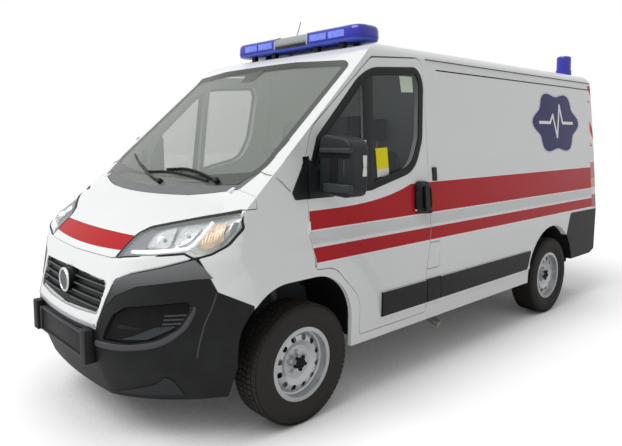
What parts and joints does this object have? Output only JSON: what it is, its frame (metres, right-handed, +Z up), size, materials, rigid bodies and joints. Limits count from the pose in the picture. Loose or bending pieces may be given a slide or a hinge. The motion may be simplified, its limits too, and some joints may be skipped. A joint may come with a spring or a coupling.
{
  "type": "ambulance van",
  "caption": "Low-roof panel van fitted as an ambulance, with hinged doors and hood, steered front wheels, roof light bar and a rear load space.",
  "frame": {"origin": "on the ground, under the middle of the vehicle's length and width", "axes": "+Z up, +X to the vehicle's left, -Y ahead"},
  "size_m": [2.4998, 4.993, 2.5381],
  "materials": {
    "white_paint": "gloss",
    "dark_plastic": "fine grain",
    "grey_plastic": "satin",
    "glass": "tinted",
    "lamp_lens": "clear",
    "tail_lens": "gloss",
    "blue_lens": "clear",
    "silver_plastic": "satin",
    "silver_steel": "satin",
    "chassis_steel": "satin",
    "tyre": "matt",
    "seat_fabric": "woven",
    "cast_metal": "rough",
    "exhaust_steel": "dull"
  },
  "bodies": {
    "body": {"roof": "white_paint", "side_panel_left": "white_paint", "side_panel_right": "white_paint", "sliding_door": "white_paint", "cab_frame": "white_paint", "fender_left": "white_paint", "fender_right": "white_paint", "bulkhead": "white_paint", "cowl": "dark_plastic", "front_bumper": "dark_plastic", "grille": "dark_plastic", "plate_holder": "dark_plastic", "mirror_corners": "dark_plastic", "rear_bumper": "dark_plastic", "arch_liners": "dark_plastic", "dashboard": "dark_plastic", "wipers": "dark_plastic", "antenna": "dark_plastic", "grille_surround": "silver_plastic", "light_bar_frame": "silver_plastic", "windscreen": "glass", "sliding_door_glass": "glass", "headlamps": "lamp_lens", "tail_lamps": "tail_lens", "light_bar_lenses": "blue_lens", "rear_beacon": "blue_lens", "chassis_rails": "chassis_steel", "front_subframe": "chassis_steel", "rear_axle": "chassis_steel", "leaf_springs": "chassis_steel", "fuel_tank": "chassis_steel", "firewall": "chassis_steel", "floor": "grey_plastic", "engine_block": "cast_metal", "exhaust": "exhaust_steel", "seats": "seat_fabric"},
    "hood": {"hood": "white_paint"},
    "door_left": {"cab_door_left": "white_paint", "cab_glass_left": "glass", "mirror_left": "dark_plastic"},
    "door_right": {"cab_door_right": "white_paint", "cab_glass_right": "glass", "mirror_right": "dark_plastic"},
    "rear_door_left": {"rear_door_left": "white_paint", "rear_glass_left": "glass"},
    "rear_door_right": {"rear_door_right": "white_paint", "rear_glass_right": "glass"},
    "fuel_flap": {"fuel_flap": "white_paint"},
    "knuckle_left": {"knuckle_left": "cast_metal"},
    "knuckle_right": {"knuckle_right": "cast_metal"},
    "wheel_front_left": {"tyre_front_left": "tyre", "rim_front_left": "silver_steel"},
    "wheel_front_right": {"tyre_front_right": "tyre", "rim_front_right": "silver_steel"},
    "wheel_rear_left": {"tyre_rear_left": "tyre", "rim_rear_left": "silver_steel"},
    "wheel_rear_right": {"tyre_rear_right": "tyre", "rim_rear_right": "silver_steel"},
    "steering_wheel": {"steering_wheel": "dark_plastic"}
  },
  "joints": [
    {"name": "hood_hinge", "type": "hinge", "parent": "body", "child": "hood", "pos_m": [0, -1.826, 1.33], "axis": [-1, 0, 0], "range_deg": [0, 50]},
    {"name": "door_left_hinge", "type": "hinge", "parent": "body", "child": "door_left", "pos_m": [1.00481, -1.477, 1.11], "axis": [0.0836, 0, -0.9965], "range_deg": [0, 70]},
    {"name": "door_right_hinge", "type": "hinge", "parent": "body", "child": "door_right", "pos_m": [-1.00481, -1.477, 1.11], "axis": [0.0836, 0, 0.9965], "range_deg": [0, 70]},
    {"name": "rear_door_left_hinge", "type": "hinge", "parent": "body", "child": "rear_door_left", "pos_m": [0.8075, 2.4725, 0.56], "axis": [0.029, 0, -0.9996], "range_deg": [0, 180]},
    {"name": "rear_door_right_hinge", "type": "hinge", "parent": "body", "child": "rear_door_right", "pos_m": [-0.8075, 2.4725, 0.56], "axis": [0.029, 0, 0.9996], "range_deg": [0, 180]},
    {"name": "fuel_flap_hinge", "type": "hinge", "parent": "body", "child": "fuel_flap", "pos_m": [1.021, -0.266, 0.795], "axis": [0, 0, 1], "range_deg": [0, 90]},
    {"name": "steer_left", "type": "hinge", "parent": "body", "child": "knuckle_left", "pos_m": [0.81607, -1.5185, 0.341], "axis": [-0.2667, 0, 0.9638], "range_deg": [-33, 33]},
    {"name": "steer_right", "type": "hinge", "parent": "body", "child": "knuckle_right", "pos_m": [-0.81607, -1.5185, 0.341], "axis": [0.2667, 0, 0.9638], "range_deg": [-33, 33]},
    {"name": "steering_wheel_turn", "type": "hinge", "parent": "body", "child": "steering_wheel", "pos_m": [0.45, -1.0935, 1.21], "axis": [0, 0.866, 0.5], "range_deg": [-500, 500]},
    {"name": "wheel_front_left_spin", "type": "hinge", "parent": "knuckle_left", "child": "wheel_front_left", "pos_m": [0.905, -1.5185, 0.341], "axis": [1, 0, 0], "continuous": true},
    {"name": "wheel_front_right_spin", "type": "hinge", "parent": "knuckle_right", "child": "wheel_front_right", "pos_m": [-0.905, -1.5185, 0.341], "axis": [1, 0, 0], "continuous": true},
    {"name": "wheel_rear_left_spin", "type": "hinge", "parent": "body", "child": "wheel_rear_left", "pos_m": [0.895, 1.4815, 0.341], "axis": [1, 0, 0], "continuous": true},
    {"name": "wheel_rear_right_spin", "type": "hinge", "parent": "body", "child": "wheel_rear_right", "pos_m": [-0.895, 1.4815, 0.341], "axis": [1, 0, 0], "continuous": true}
  ],
  "couplings": [
    {"joint": "steer_right", "follows": "steer_left", "ratio": 1},
    {"joint": "steering_wheel_turn", "follows": "steer_left", "ratio": 15}
  ]
}
